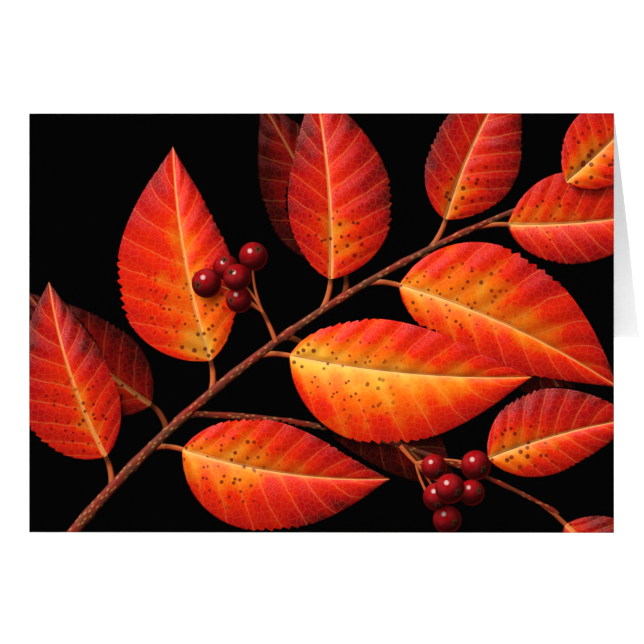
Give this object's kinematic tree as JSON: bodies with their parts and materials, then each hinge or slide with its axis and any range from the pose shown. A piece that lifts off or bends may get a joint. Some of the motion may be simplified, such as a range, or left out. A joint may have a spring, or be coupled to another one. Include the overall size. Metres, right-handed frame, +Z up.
{
  "type": "folded greeting card",
  "caption": "Top-fold greeting card of heavy white card stock with a full-bleed printed front and a blank inside, standing open like a tent on its two bottom edges.",
  "frame": {"origin": "on the surface that the card stands on, midway between its two bottom edges and midway along the fold", "axes": "+X along the fold, to the right of whoever looks at the printed front; -Y towards that viewer; +Z up to the fold"},
  "size_m": [0.1778, 0.1228, 0.1113],
  "materials": {
    "printed_front": "satin",
    "white_stock": "matte"
  },
  "bodies": {
    "front": {"front_panel": "printed_front", "fold_bend": "printed_front"},
    "back": {"back_panel": "white_stock"}
  },
  "joints": [
    {"name": "fold", "type": "hinge", "parent": "front", "child": "back", "pos_m": [0, 0, 0.11069], "axis": [1, 0, 0], "range_deg": [-57.6, 122.4]}
  ]
}
